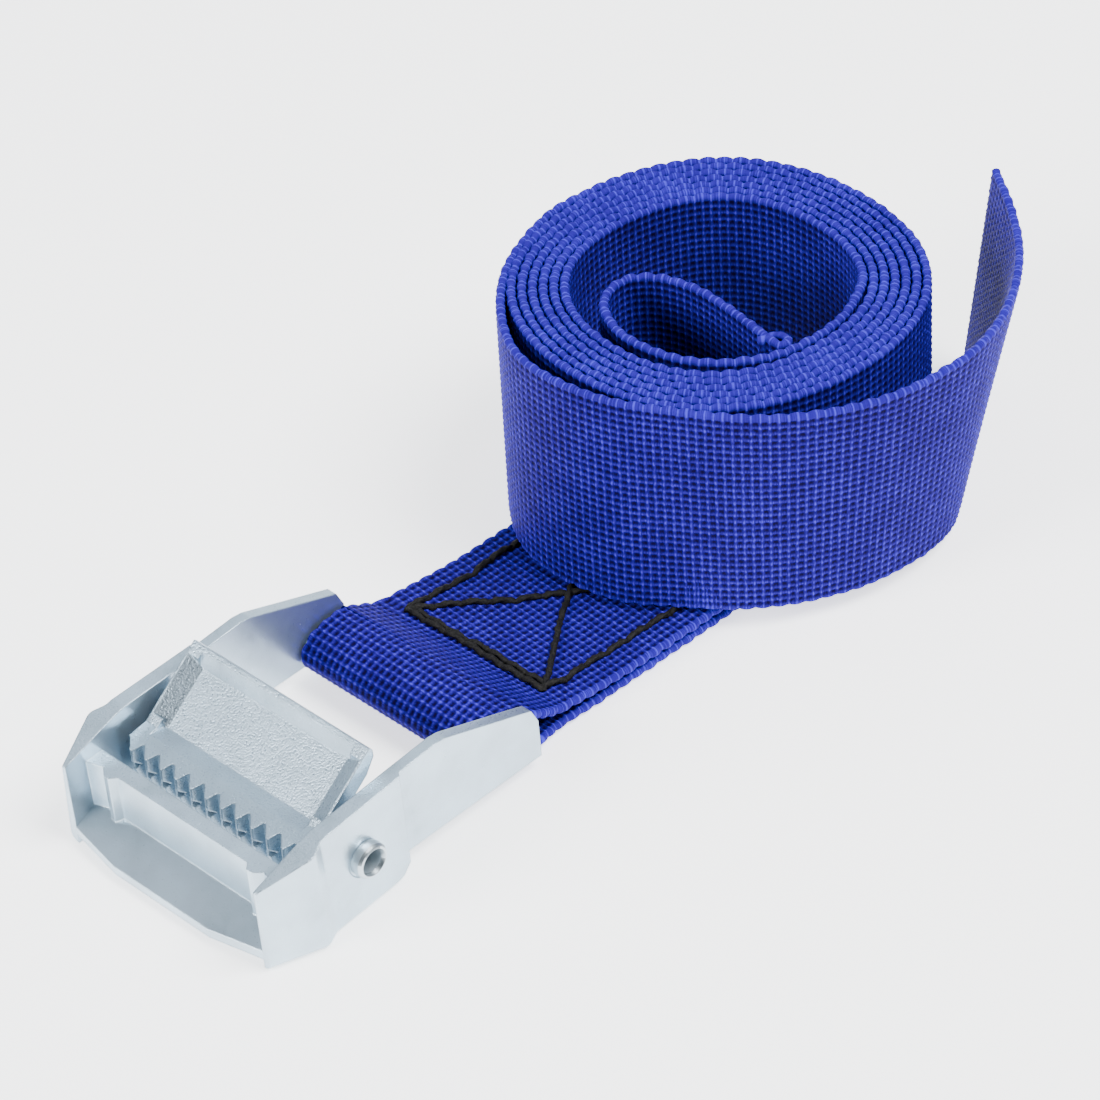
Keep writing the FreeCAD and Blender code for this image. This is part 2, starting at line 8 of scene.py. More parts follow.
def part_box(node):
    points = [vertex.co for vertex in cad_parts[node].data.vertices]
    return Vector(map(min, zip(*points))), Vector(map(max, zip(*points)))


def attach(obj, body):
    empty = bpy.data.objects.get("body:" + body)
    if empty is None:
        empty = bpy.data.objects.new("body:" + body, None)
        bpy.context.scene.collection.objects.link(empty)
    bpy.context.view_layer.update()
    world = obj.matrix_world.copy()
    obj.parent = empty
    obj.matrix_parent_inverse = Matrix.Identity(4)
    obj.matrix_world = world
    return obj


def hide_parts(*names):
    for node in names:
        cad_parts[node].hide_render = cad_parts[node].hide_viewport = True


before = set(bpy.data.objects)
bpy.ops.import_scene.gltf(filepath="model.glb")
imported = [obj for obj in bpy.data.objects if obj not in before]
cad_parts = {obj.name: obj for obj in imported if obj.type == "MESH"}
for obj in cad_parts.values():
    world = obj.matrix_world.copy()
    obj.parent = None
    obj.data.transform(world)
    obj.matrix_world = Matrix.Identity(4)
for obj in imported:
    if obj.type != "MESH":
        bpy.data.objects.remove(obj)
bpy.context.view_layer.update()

MM = 0.001

# The frame's own places, in metres.
EYE_LOW, EYE_HIGH = (np.array(corner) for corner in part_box("webbing_eye"))
ROLL_LOW, ROLL_HIGH = (np.array(corner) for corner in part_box("webbing_roll"))

# Webbing.
WIDTH = EYE_HIGH[1] - EYE_LOW[1]
THICK = 1.0 * MM
RIB = 0.85 * MM                   # distance between two weft ribs along the webbing
ROW_COUNT = 30                    # warp rows across the webbing
PIT_DEPTH = 0.30 * MM             # the pits between the crossing yarns
SELVAGE_DEPTH = 0.22 * MM         # the gaps between the edge's loops
RIB_SHARP = 1.4                   # how narrow the ribs are, and the rows that cross below them
ROW_SHARP = 1.2
ROW_LOWER = 0.72
RIB_BEAD = 0.42                   # how much a rib sinks between two rows
STEPS_PER_RIB = 4
STEPS_PER_ROW = 3
SMOOTHING_PASSES = 6              # they round the joints between the webbing's parts
LOOP_ROUND = 0.7                  # how full the edge's loops are, and how uneven
LOOP_SLACK = 0.4
CUT_FRAY = 0.45 * MM              # twice the height of the cut end's teeth
CUT_TEETH = 0.55                  # teeth for each row
ASKEW = 0.06                      # how much the sewn webbing slants behind the eye,
SLANT_FROM = EYE_LOW[0] + 7 * MM  # where that begins and is full,
SLANT_FULL = EYE_LOW[0] + 12 * MM
SLANT_OFF = 0.45 * MM             # and how far off the middle the webbing is there

# Stitching: a box with a cross behind the eye.
BOX_FRONT = 29.2 * MM
BOX_BACK = 54.2 * MM
BOX_HALF = 9.3 * MM               # half its width
SECOND_START = 0.9 * MM           # how far the second front line starts and ends behind the first
SECOND_END = 0.3 * MM
SECOND_SHORT = 0.97               # and how much nearer the middle it starts
THREAD = 0.3 * MM                 # the thread's radius
THREAD_AROUND = 9                 # points round it
THREAD_TWIST = 0.65 * MM          # the length in which its plies turn by one radian
PLY_COUNT = 3
PLY_DEPTH = 0.22                  # as a share of the radius
STITCH = 2.6 * MM
STITCH_STEPS = 10
STITCH_FINER = 3                  # points for each of those steps along the thread
STITCH_ARCH = 0.42 * MM           # how high the middle of a stitch stands
STITCH_DIVE = 0.12 * MM           # how deep its ends sit in the webbing
STITCH_ROUND = 0.6
STITCH_SWAY = 0.13 * MM           # how far the needle holes stray from a straight line

# Roll.
ROLL_CENTRE = (ROLL_LOW + ROLL_HIGH)[:2] / 2 - (0, 0.35 * MM)
ROLL_FIRST = 14.2 * MM            # the innermost layer's radius
ROLL_PITCH = 1.05 * MM
ROLL_TURNS = 6.28
ROLL_FROM = -50                   # the angle at which the core's line joins the layers, in degrees
ROLL_STEP = 10
ROLL_OFF = 0.7 * MM               # the layers lie off the centre, toward the core's loop,
OFF_TOWARD = math.radians(200)
ROLL_SQUARE = 0.3 * MM            # and are a little squarish, with one corner here
SQUARE_CORNER = math.radians(40)
ROLL_TILT = math.radians(2.5)     # its left side lies on the doubled webbing, its right on the floor
ROLL_FOOT = ROLL_LOW[2] + 0.65 * MM

# Under the roll, where the flat webbing turns up on edge.
FAN_AT = ROLL_CENTRE[0] - 1.1 * MM
FAN_LEAN = 0.137                  # it stands a little askew, along the core's first stretch
FAN_SIDE = ROLL_CENTRE[1] - 11.3 * MM     # where its near edge stands, clear of the wound layers
FAN_STEPS = 24
FLAT_LEVEL = 0.62 * MM            # the middle of a layer that lies on the floor
FAN_FOOT = ROLL_FOOT - (FAN_AT - ROLL_LOW[0]) * math.tan(ROLL_TILT)


def spline(points, steps=24):
    """A smooth line through points, as a centripetal Catmull-Rom curve."""
    points = np.array(points, float)
    padded = np.vstack([2 * points[0] - points[1], points, 2 * points[-1] - points[-2]])
    line = []
    for a, b, c, d in zip(padded, padded[1:], padded[2:], padded[3:]):
        gaps = [max(np.linalg.norm(q - p), 1e-9) ** 0.5 for p, q in ((a, b), (b, c), (c, d))]
        t1 = gaps[0]
        t2 = t1 + gaps[1]
        t3 = t2 + gaps[2]
        for t in np.linspace(t1, t2, steps, endpoint=False):
            ab = ((t1 - t) * a + t * b) / t1
            bc = ((t2 - t) * b + (t - t1) * c) / (t2 - t1)
            cd = ((t3 - t) * c + (t - t2) * d) / (t3 - t2)
            abc = ((t2 - t) * ab + t * bc) / t2
            bcd = ((t3 - t) * bc + (t - t1) * cd) / (t3 - t1)
            line.append(((t2 - t) * abc + (t - t1) * bcd) / (t2 - t1))
    line.append(points[-1])
    return np.array(line)


def drift(along):
    """How far the flat webbing lies off the buckle's middle: askew behind the eye, then to the fan."""
    begun = np.clip((along - SLANT_FROM) / (SLANT_FULL - SLANT_FROM), 0, 1)
    slant = begun * (SLANT_OFF - ASKEW * (along - SLANT_FULL))
    late = np.clip((along - EYE_HIGH[0]) / (FAN_AT - EYE_HIGH[0]), 0, 1)
    late = late ** 2 * (3 - 2 * late)
    return slant * (1 - late) + (FAN_SIDE + WIDTH / 2) * late


def flat_part():
    """From the short sewn end forward, round the crossbar and back under itself to the roll's core."""
    sewn_end = EYE_HIGH[0]
    front = EYE_LOW[0]
    side = np.array([
        (sewn_end, 1.75 * MM), (front + 28 * MM, 1.7 * MM), (front + 20 * MM, 1.85 * MM),
        (front + 14.5 * MM, 2.35 * MM), (front + 11.3 * MM, 2.85 * MM), (front + 9 * MM, 4.1 * MM),
        (front + 6.2 * MM, 5.7 * MM), (front + 4 * MM, 5.75 * MM), (front + 1.6 * MM, 5.0 * MM),
        (front + 0.55 * MM, 3.5 * MM), (front + 1.4 * MM, 2.1 * MM), (front + 4 * MM, 1.6 * MM),
        (front + 9 * MM, 1.0 * MM), (front + 15 * MM, 0.65 * MM), (front + 24 * MM, 0.55 * MM),
        (sewn_end, FLAT_LEVEL), (FAN_AT - 0.7 * MM, FLAT_LEVEL),
    ])
    line = spline(side)
    middles = np.column_stack([line[:, 0], drift(line[:, 0]), line[:, 1]])
    across = np.zeros_like(middles)
    across[:, 0] = np.where(line[:, 0] > SLANT_FULL, ASKEW, 0.0)
    across[:, 1] = 1
    return middles, across


def turned_up_part():
    """The single layer turns on to its edge: a fold upwards, then a quarter fan that rises a little."""
    turn = np.linspace(0, math.pi / 2, FAN_STEPS)
    near = np.column_stack([np.full_like(turn, FAN_AT - FAN_LEAN * WIDTH / 2),
                            np.full_like(turn, FAN_SIDE),
                            np.linspace(FLAT_LEVEL, FAN_FOOT, FAN_STEPS)])
    widths = np.column_stack([FAN_LEAN * np.cos(turn), np.cos(turn), np.sin(turn)])
    widths /= np.linalg.norm(widths, axis=1, keepdims=True)
    return near + widths * WIDTH / 2, widths


def standing(plan):
    """Middles and width directions of webbing on edge: plan rows are x, y and its outward flare."""
    lean = np.array([math.sin(ROLL_TILT), 0, math.cos(ROLL_TILT)])
    foot = ROLL_FOOT - (plan[:, 0] - ROLL_LOW[0]) * math.tan(ROLL_TILT)
    along = np.gradient(plan[:, :2], axis=0)
    along /= np.linalg.norm(along, axis=1, keepdims=True)
    outward = np.column_stack([along[:, 1], -along[:, 0], np.zeros(len(plan))])
    flare = np.radians(plan[:, 2])[:, None]
    widths = lean * np.cos(flare) + outward * np.sin(flare)
    top = np.column_stack([plan[:, :2], foot]) + lean * WIDTH * np.cos(flare)
    return top - widths * WIDTH / 2, widths


def roll_plan():
    """The roll from above: core loop, wound layers and the flaring tail, as one smooth line."""
    core = [(-2.85, -11.2), (-2.95, -11.9), (-3.55, -12.35), (-4.2, -11.9), (-4.25, -11.0),
            (-3.85, -8.6), (-3.15, -4.7), (-2.75, -0.4), (-3.1, 2.7), (-4.2, 5.2), (-6.0, 6.7),
            (-8.3, 6.8), (-10.5, 5.6), (-11.9, 3.6), (-12.9, 0.8), (-13.0, -2.3), (-12.2, -6.0),
            (-10.6, -8.8), (-8.3, -11.1), (-5.3, -12.85), (-1.9, -13.6), (1.2, -13.65),
            (4.1, -13.15)]
    core = [(*point, 0) for point in core]
    wound = []
    for turn in np.arange(ROLL_FROM, 360 * ROLL_TURNS, ROLL_STEP):
        angle = math.radians(turn)
        radius = ROLL_FIRST + ROLL_PITCH * turn / 360 + ROLL_OFF * math.cos(angle - OFF_TOWARD)
        radius += ROLL_SQUARE * math.cos(4 * (angle - SQUARE_CORNER))
        wound.append((radius / MM * math.cos(angle), radius / MM * math.sin(angle), 0))
    tail = [(-12.1, 17.2, 0), (-18.0, 12.3, 0), (-21.7, 6.6, 0), (-22.5, 0.5, 0), (-21.3, -5.9, 0),
            (-18.9, -10.8, 1.5), (-15.1, -17.1, 3.5), (-10.6, -21.5, 5), (-3.5, -25.3, 6.5),
            (4.6, -26.6, 7.5), (9.2, -26.2, 8.5), (13.6, -24.9, 10.5), (18.0, -22.7, 12),
            (22.2, -19.8, 12.5), (25.2, -17.1, 12), (28.8, -12.9, 10), (32.2, -8.1, 6.5)]
    line = spline(core + wound + tail, steps=8)
    line[:, :2] = ROLL_CENTRE + line[:, :2] * MM
    return line


def webbing_line():
    """Even steps along the whole webbing: middle, width direction and face direction of each."""
    flat, flat_across = flat_part()
    fan, fan_across = turned_up_part()
    wound, wound_across = standing(roll_plan())
    middles = np.vstack([flat, fan, wound])
    across = np.vstack([flat_across, fan_across, wound_across])
    keep = np.concatenate([[True], np.linalg.norm(np.diff(middles, axis=0), axis=1) > 1e-6])
    middles, across = middles[keep], across[keep]
    run = np.concatenate([[0], np.cumsum(np.linalg.norm(np.diff(middles, axis=0), axis=1))])
    count = int(run[-1] / RIB * STEPS_PER_RIB)
    even = np.arange(count) * RIB / STEPS_PER_RIB
    middles = np.column_stack([np.interp(even, run, middles[:, axis]) for axis in range(3)])
    across = np.column_stack([np.interp(even, run, across[:, axis]) for axis in range(3)])
    for _ in range(SMOOTHING_PASSES):
        middles[1:-1] = (middles[:-2] + 2 * middles[1:-1] + middles[2:]) / 4
        across[1:-1] = (across[:-2] + 2 * across[1:-1] + across[2:]) / 4
    along = np.gradient(middles, axis=0)
    along /= np.linalg.norm(along, axis=1, keepdims=True)
    across -= along * np.sum(across * along, axis=1, keepdims=True)
    across /= np.linalg.norm(across, axis=1, keepdims=True)
    return even, middles, across, np.cross(along, across), along


def webbing_section():
    """The webbing's cut end: places across it, and which way its skin faces."""
    count = ROW_COUNT * STEPS_PER_ROW
    half = WIDTH / 2 - THICK / 2
    flat = np.linspace(-half, half, count + 1)
    edge = np.radians([-60, -30, 0, 30, 60])
    top = np.column_stack([flat, np.full(count + 1, THICK / 2)])
    right = np.column_stack([half + THICK / 2 * np.cos(edge), -THICK / 2 * np.sin(edge)])
    ring = np.vstack([top, right, -top, -right])
    facing = np.vstack([
        np.tile([0, 1.0], (count + 1, 1)), np.column_stack([np.cos(edge), -np.sin(edge)]),
        np.tile([0, -1.0], (count + 1, 1)), np.column_stack([-np.cos(edge), np.sin(edge)])])
    row = np.clip((ring[:, 0] + half) / (2 * half), 0, 1) * ROW_COUNT
    on_edge = np.abs(facing[:, 0]) > 0.1
    return ring, facing, row, on_edge


def grid_object(name, points):
    """A mesh object from rings of points, one ring per step along it."""
    steps, around, _ = points.shape
    here = (np.arange(steps - 1)[:, None] * around + np.arange(around)[None, :])
    following = (np.arange(steps - 1)[:, None] * around + (np.arange(around)[None, :] + 1) % around)
    quads = np.stack([here, following, following + around, here + around], axis=-1).reshape(-1, 4)
    mesh = bpy.data.meshes.new(name)
    mesh.vertices.add(steps * around)
    mesh.vertices.foreach_set("co", points.reshape(-1).astype(np.float32))
    ends = [list(range(around))[::-1], list(range((steps - 1) * around, steps * around))]
    loops = np.concatenate([quads.reshape(-1)] + [np.array(end) for end in ends])
    starts = np.concatenate([np.arange(len(quads)) * 4,
                             [len(quads) * 4, len(quads) * 4 + around]])
    mesh.loops.add(len(loops))
    mesh.loops.foreach_set("vertex_index", loops.astype(np.int32))
    mesh.polygons.add(len(starts))
    mesh.polygons.foreach_set("loop_start", starts.astype(np.int32))
    mesh.polygons.foreach_set("use_smooth", np.ones(len(starts), bool))
    mesh.update(calc_edges=True)
    mesh.validate()
    piece = bpy.data.objects.new(name, mesh)
    bpy.context.scene.collection.objects.link(piece)
    return piece


def make_webbing():
    """The one blue band: its ribs, rows, pits and edge loops are real depth in its skin."""
    run, middles, across, face, along = webbing_line()
    ring, facing, row, on_edge = webbing_section()
    rib = run[:, None] / RIB
    rows = row[None, :]
    row_top = np.abs(np.cos(math.pi * rows)) ** ROW_SHARP
    across_row = ROW_LOWER * row_top
    across_rib = np.abs(np.cos(math.pi * rib)) ** RIB_SHARP * (1 - RIB_BEAD * (1 - row_top))
    rng = np.random.default_rng(7)
    slack = 1 - LOOP_SLACK / 2 + LOOP_SLACK * rng.random(len(run) // (2 * STEPS_PER_RIB) + 2)
    loop = np.abs(np.sin(0.5 * math.pi * rib)) ** LOOP_ROUND * slack[(rib // 2).astype(int)]
    sunk = PIT_DEPTH * (1 - np.maximum(across_rib, across_row))
    sunk = np.where(on_edge[None, :], SELVAGE_DEPTH * (1 - loop), sunk)
    off = ring[None, :, :] - facing[None, :, :] * sunk[:, :, None]
    points = (middles[:, None, :] + across[:, None, :] * off[:, :, :1]
              + face[:, None, :] * off[:, :, 1:])
    saw = CUT_FRAY * np.abs((row * CUT_TEETH) % 1 - 0.5)
    points[-1] += along[-1] * saw[:, None]
    piece = grid_object("webbing", points)
    for name, place in (("rib", rib), ("row", rows), ("selvage", on_edge[None, :])):
        layer = piece.data.attributes.new(name, "FLOAT", "POINT")
        place = np.broadcast_to(place, points.shape[:2])
        layer.data.foreach_set("value", place.reshape(-1).astype(np.float32))
    piece.data.materials.append(webbing_material())
    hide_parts("webbing_eye", "webbing_lead", "webbing_core", "webbing_roll",
                "webbing_tail")
    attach(piece, "frame")
    return piece, run[-1], middles


def stitch_line(start, end, seed):
    """Points of one sewn line between two places on the webbing: arcs that dive at every stitch."""
    start, end = np.array(start), np.array(end)
    long = np.linalg.norm(end - start)
    stitches = max(int(long / STITCH), 1)
    steps = np.linspace(0, 1, stitches * STITCH_STEPS + 1)
    rng = np.random.default_rng(seed)
    offset = rng.normal(0, STITCH_SWAY, stitches + 1)
    phase = steps * stitches
    across = np.array([-(end - start)[1], (end - start)[0]]) / long
    sway = np.interp(phase, np.arange(stitches + 1), offset)
    flat = start + np.outer(steps, end - start) + np.outer(sway, across)
    arch = np.abs(np.sin(math.pi * phase)) ** STITCH_ROUND
    return flat, arch * STITCH_ARCH


def corner(along, side):
    """A place on the sewn webbing: side is -1 at the stitched box's near edge, 1 at its far edge."""
    return (along, side * BOX_HALF + drift(along))


def make_stitching(middles):
    """The black thread: a box with a cross, its front line sewn twice."""
    top = middles[: np.argmin(middles[:, 0])]
    order = np.argsort(top[:, 0])
    near_front, far_front = corner(BOX_FRONT, -1), corner(BOX_FRONT, 1)
    near_back, far_back = corner(BOX_BACK, -1), corner(BOX_BACK, 1)
    lines = [
        (near_front, far_front),
        (corner(BOX_FRONT + SECOND_START, -SECOND_SHORT), corner(BOX_FRONT + SECOND_END, 1)),
        (far_front, far_back), (near_front, near_back), (far_front, near_back),
        (near_front, far_back), (near_back, far_back),
    ]
    meshes = []
    for seed, (start, end) in enumerate(lines):
        flat, arch = stitch_line(start, end, seed)
        fine = np.linspace(0, len(flat) - 1, len(flat) * STITCH_FINER)
        flat = np.column_stack([np.interp(fine, np.arange(len(flat)), flat[:, k]) for k in (0, 1)])
        arch = np.interp(fine, np.arange(len(arch)), arch)
        height = np.interp(flat[:, 0], top[order, 0], top[order, 2])
        height += THICK / 2 - STITCH_DIVE + arch
        line = np.column_stack([flat, height])
        along = np.gradient(line, axis=0)
        along /= np.linalg.norm(along, axis=1, keepdims=True)
        side = np.cross(along, [0, 0, 1.0])
        side /= np.linalg.norm(side, axis=1, keepdims=True)
        up = np.cross(side, along)
        length = np.concatenate([[0], np.cumsum(np.linalg.norm(np.diff(line, axis=0), axis=1))])
        turn = 2 * math.pi * np.arange(THREAD_AROUND) / THREAD_AROUND
        twist = turn[None, :] - length[:, None] / THREAD_TWIST
        plies = 1 + PLY_DEPTH * np.cos(PLY_COUNT * twist)
        points = (line[:, None, :] + THREAD * plies[..., None]
                  * (side[:, None, :] * np.cos(turn)[None, :, None]
                     + up[:, None, :] * np.sin(turn)[None, :, None]))
        meshes.append(grid_object(f"thread_{seed}", points))
    return join("box_x_stitches", meshes)


def join(name, objects):
    """One object from several, without the operators."""
    vertices, faces = [], []
    for item in objects:
        start = len(vertices)
        vertices.extend(tuple(v.co) for v in item.data.vertices)
        faces.extend([start + i for i in p.vertices] for p in item.data.polygons)
        bpy.data.objects.remove(item)
    mesh = bpy.data.meshes.new(name)
    mesh.from_pydata(vertices, [], faces)
    mesh.polygons.foreach_set("use_smooth", [True] * len(mesh.polygons))
    piece = bpy.data.objects.new(name, mesh)
    bpy.context.scene.collection.objects.link(piece)
    return piece


# Materials. Colours are linear.

ZINC = (0.50, 0.62, 0.71)
LEVER_ZINC = (0.41, 0.52, 0.61)
RIVET_ZINC = (0.55, 0.63, 0.68)
SPRING_STEEL = (0.32, 0.34, 0.37)
EDGE_ROUND = 0.22 * MM
APRON_LEVEL = 4 * MM              # below this the plating is smooth
CUT_AND_SHADE_GREY = 0.42                   # a cut face, and the painted shade on the plating's near slopes, is this much as bright as the plating
CLOUD_GREY = 0.86
CLOUD_SCALE = 220                 # noise scales, per metre
PATCH_SCALE = 260
GRAIN_SCALE = 5200
THREAD_SCALE = 5000
FIBRES_PER_RIB = 5                # noise steps across one rib, and across one row
FIBRES_PER_ROW = 1.4
CLOUD_BUMP = 0.12 * MM
GRAIN_BUMP = 0.07 * MM
YARN_BUMP = 0.12 * MM
SELVAGE_SHADE_LEVEL = 0.6                # the edge's loops get part of the painted pit shade: they are duller than a rib's top
# The yarn's blue at a rib's top, then painted shade that darkens it down into the pits, by depth.
YARN_AND_PIT_SHADE = [
    (0.0, (0.050, 0.034, 0.56)), (0.25, (0.022, 0.0085, 0.24)), (0.6, (0.010, 0.003, 0.095)),
    (0.95, (0.0035, 0.001, 0.026))]


def material(name):
    made = bpy.data.materials.new(name)
    made.use_nodes = True
    nodes = made.node_tree.nodes
    return made, nodes, made.node_tree.links, nodes["Principled BSDF"]


def noise(nodes, links, place, scale, detail):
    texture = nodes.new("ShaderNodeTexNoise")
    texture.inputs["Scale"].default_value = scale
    texture.inputs["Detail"].default_value = detail
    links.new(place, texture.inputs["Vector"])
    return texture.outputs["Fac"]


def ramp(nodes, links, source, stops):
    made = nodes.new("ShaderNodeValToRGB")
    while len(made.color_ramp.elements) < len(stops):
        made.color_ramp.elements.new(0.5)
    for element, (place, colour) in zip(made.color_ramp.elements, stops):
        element.position = place
        element.color = (*colour, 1)
    links.new(source, made.inputs["Fac"])
    return made.outputs["Color"]


def give(links, value, socket):
    """A value for a node's input: a number, or another node's output."""
    if isinstance(value, (int, float)):
        socket.default_value = value
    else:
        links.new(value, socket)


def maths(nodes, links, operation, *values):
    made = nodes.new("ShaderNodeMath")
    made.operation = operation
    for socket, value in zip(made.inputs, values):
        give(links, value, socket)
    return made.outputs["Value"]


def relief(nodes, links, height, distance, strength):
    """A Bump node: small relief that only the light sees."""
    made = nodes.new("ShaderNodeBump")
    made.inputs["Distance"].default_value = distance
    give(links, strength, made.inputs["Strength"])
    links.new(height, made.inputs["Height"])
    return made


def between(nodes, links, source, low, high, start=0.0, end=1.0):
    """Goes from start to end while the source goes from low to high, and no further."""
    made = nodes.new("ShaderNodeMapRange")
    for name, value in (("From Min", low), ("From Max", high), ("To Min", start), ("To Max", end)):
        made.inputs[name].default_value = value
    links.new(source, made.inputs["Value"])
    return made.outputs["Result"]


def place_on(nodes, kind):
    """Where the shaded point is: kind is Object for its place, Normal for the way it faces."""
    return nodes.new("ShaderNodeTexCoord").outputs[kind]


def split(nodes, links, source):
    made = nodes.new("ShaderNodeSeparateXYZ")
    links.new(source, made.inputs["Vector"])
    return made.outputs


def mesh_value(nodes, name):
    """A value that make_webbing stored in the mesh."""
    made = nodes.new("ShaderNodeAttribute")
    made.attribute_name = name
    return made.outputs["Fac"]


def ridge(nodes, links, along, sharp):
    """How near a place is to the top of a rib, or of a row."""
    turn = maths(nodes, links, "MULTIPLY", along, math.pi)
    top = maths(nodes, links, "ABSOLUTE", maths(nodes, links, "COSINE", turn))
    return maths(nodes, links, "POWER", top, sharp)


def webbing_material():
    """Royal blue polypropylene yarn: filaments across the ribs, with painted shade darkening the pits
    between them.
    """
    made, nodes, links, shader = material("blue_polypropylene")
    rib, row = mesh_value(nodes, "rib"), mesh_value(nodes, "row")
    ribs = ridge(nodes, links, rib, 2 * RIB_SHARP)
    rows = ridge(nodes, links, row, 1.6 * ROW_SHARP)
    place = nodes.new("ShaderNodeCombineXYZ")
    links.new(maths(nodes, links, "MULTIPLY", rib, FIBRES_PER_RIB), place.inputs["X"])
    links.new(maths(nodes, links, "MULTIPLY", row, FIBRES_PER_ROW), place.inputs["Y"])
    fibre = noise(nodes, links, place.outputs["Vector"], 1, 3)
    patch = noise(nodes, links, place_on(nodes, "Object"), PATCH_SCALE, 2)
    crossing = maths(nodes, links, "MULTIPLY", rows, ROW_LOWER)
    beads = maths(nodes, links, "MULTIPLY_ADD", rows, RIB_BEAD, 1 - RIB_BEAD)
    ribs = maths(nodes, links, "MULTIPLY", ribs, beads)
    loops = maths(nodes, links, "MULTIPLY", mesh_value(nodes, "selvage"), SELVAGE_SHADE_LEVEL)
    height = maths(nodes, links, "MAXIMUM", maths(nodes, links, "MAXIMUM", ribs, crossing), loops)
    uneven = maths(nodes, links, "MULTIPLY_ADD", fibre, 1.1, -0.7)
    uneven = maths(nodes, links, "MULTIPLY_ADD", patch, 0.3, uneven)
    # Painted shade: the deeper a place lies between ribs and rows, the darker its colour; fibre and
    # patch noise make it uneven.
    pit_shade_and_mottle = maths(nodes, links, "ADD", maths(nodes, links, "SUBTRACT", 1, height), uneven)
    tone = ramp(nodes, links, pit_shade_and_mottle, YARN_AND_PIT_SHADE)
    links.new(tone, shader.inputs["Base Color"])
    shader.inputs["Roughness"].default_value = 0.5
    shader.inputs["Specular IOR Level"].default_value = 0.03
    shader.inputs["Specular Tint"].default_value = (0.10, 0.11, 0.8, 1)
    yarns = relief(nodes, links, maths(nodes, links, "ADD", fibre, height), YARN_BUMP, 0.7)
    links.new(yarns.outputs["Normal"], shader.inputs["Normal"])
    return made


def thread_material():
    """Black sewing thread, dull, with a fine fibre grain."""
    made, nodes, links, shader = material("black_thread")
    fibre = noise(nodes, links, place_on(nodes, "Object"), THREAD_SCALE, 2)
    tone = ramp(nodes, links, fibre, [(0.3, (0.002, 0.002, 0.002)), (0.8, (0.018, 0.017, 0.016))])
    links.new(tone, shader.inputs["Base Color"])
    shader.inputs["Roughness"].default_value = 0.7
    shader.inputs["Specular IOR Level"].default_value = 0.15
    return made


def zinc_faces(nodes, links, place):
    """Two masks on the plating: painted shade on the slopes that face the near side, and raised faces
    that look up.
    """
    facing = split(nodes, links, place_on(nodes, "Normal"))
    # Painted shade: plating that slopes toward the near side is given a darker colour.
    near = between(nodes, links, facing["Y"], -0.2, -0.35)
    sloping = maths(nodes, links, "GREATER_THAN", facing["Z"], 0.3)
    up = between(nodes, links, facing["Z"], 0.35, 0.75)
    raised = between(nodes, links, split(nodes, links, place)["Z"], APRON_LEVEL, 2 * APRON_LEVEL)
    return maths(nodes, links, "MULTIPLY", near, sloping), maths(nodes, links, "MULTIPLY", up, raised)


def zinc_relief(nodes, links, cloud, grain, frosted):
    """Softened edges, with slight waves and a fine grain on them."""
    edge = nodes.new("ShaderNodeBevel")
    edge.samples = 6
    edge.inputs["Radius"].default_value = EDGE_ROUND
    waves = relief(nodes, links, cloud, CLOUD_BUMP, 0.5)
    grains = relief(nodes, links, grain, GRAIN_BUMP, frosted)
    links.new(edge.outputs["Normal"], waves.inputs["Normal"])
    links.new(waves.outputs["Normal"], grains.inputs["Normal"])
    return grains.outputs["Normal"]


def zinc_material(name, tint, rough, frost, cut):
    """Bright zinc plate, bluish and cloudy.

    Its near slopes get painted shade: their colour is made darker. Raised faces that look up are
    rougher by frost, and darker by cut, as sheared faces are.
    """
    made, nodes, links, shader = material(name)
    place = place_on(nodes, "Object")
    cloud = noise(nodes, links, place, CLOUD_SCALE, 4)
    grain = noise(nodes, links, place, GRAIN_SCALE, 2)
    painted_near_shade, upward = zinc_faces(nodes, links, place)
    # Painted shade on the near slopes, together with the cut faces' darker grey.
    near_shade_and_cut_face = maths(nodes, links, "MAXIMUM", painted_near_shade, maths(nodes, links, "MULTIPLY", upward, cut))
    colour = ramp(nodes, links, maths(nodes, links, "MULTIPLY_ADD", near_shade_and_cut_face, -0.6, cloud), [
        (0.0, tuple(CUT_AND_SHADE_GREY * part for part in tint)),
        (0.35, tuple(CLOUD_GREY * part for part in tint)), (0.65, tint)])
    links.new(colour, shader.inputs["Base Color"])
    shader.inputs["Metallic"].default_value = 0.87
    frosted = maths(nodes, links, "MULTIPLY_ADD", upward, 0.85 * frost, 0.15 * frost)
    coarse = maths(nodes, links, "MULTIPLY", maths(nodes, links, "SUBTRACT", grain, 0.35), 0.7)
    links.new(maths(nodes, links, "MULTIPLY_ADD", coarse, frosted, rough), shader.inputs["Roughness"])
    links.new(zinc_relief(nodes, links, cloud, grain, frosted), shader.inputs["Normal"])
    return made


def dress(node, made):
    piece = bpy.data.objects[node]
    piece.data.materials.clear()
    piece.data.materials.append(made)


# Stage.

TABLE = 3.0                       # half the table's side
GLOW = 1.7                        # how brightly it is lit from below, near the object and far away
GLOW_FAR = 0.2
GLOW_INNER = 0.13                 # distances from the object between which that changes
GLOW_OUTER = 0.32
LIT_PLACE = (0.04, 0, 0)          # what both lamps point at

# The photograph's camera, fitted with the webbing's width.
SENSOR = 36                       # its width and the lens, in millimetres
LENS = 163.6
CAMERA_PLACE = Vector((-208.7, -275.3, 325.7)) * MM
YAW, PITCH, ROLL = (math.radians(angle) for angle in (-42.1, 40.5, -5.8))


def sky_part(nodes, links, direction, toward, stops):
    """How bright the studio is by the angle from one direction: stops are (cosine, colour)."""
    dot = nodes.new("ShaderNodeVectorMath")
    dot.operation = "DOT_PRODUCT"
    links.new(direction, dot.inputs[0])
    dot.inputs[1].default_value = Vector(toward).normalized()
    stops = [((cosine + 1) / 2, colour) for cosine, colour in stops]
    return ramp(nodes, links, between(nodes, links, dot.outputs["Value"], -1, 1), stops)


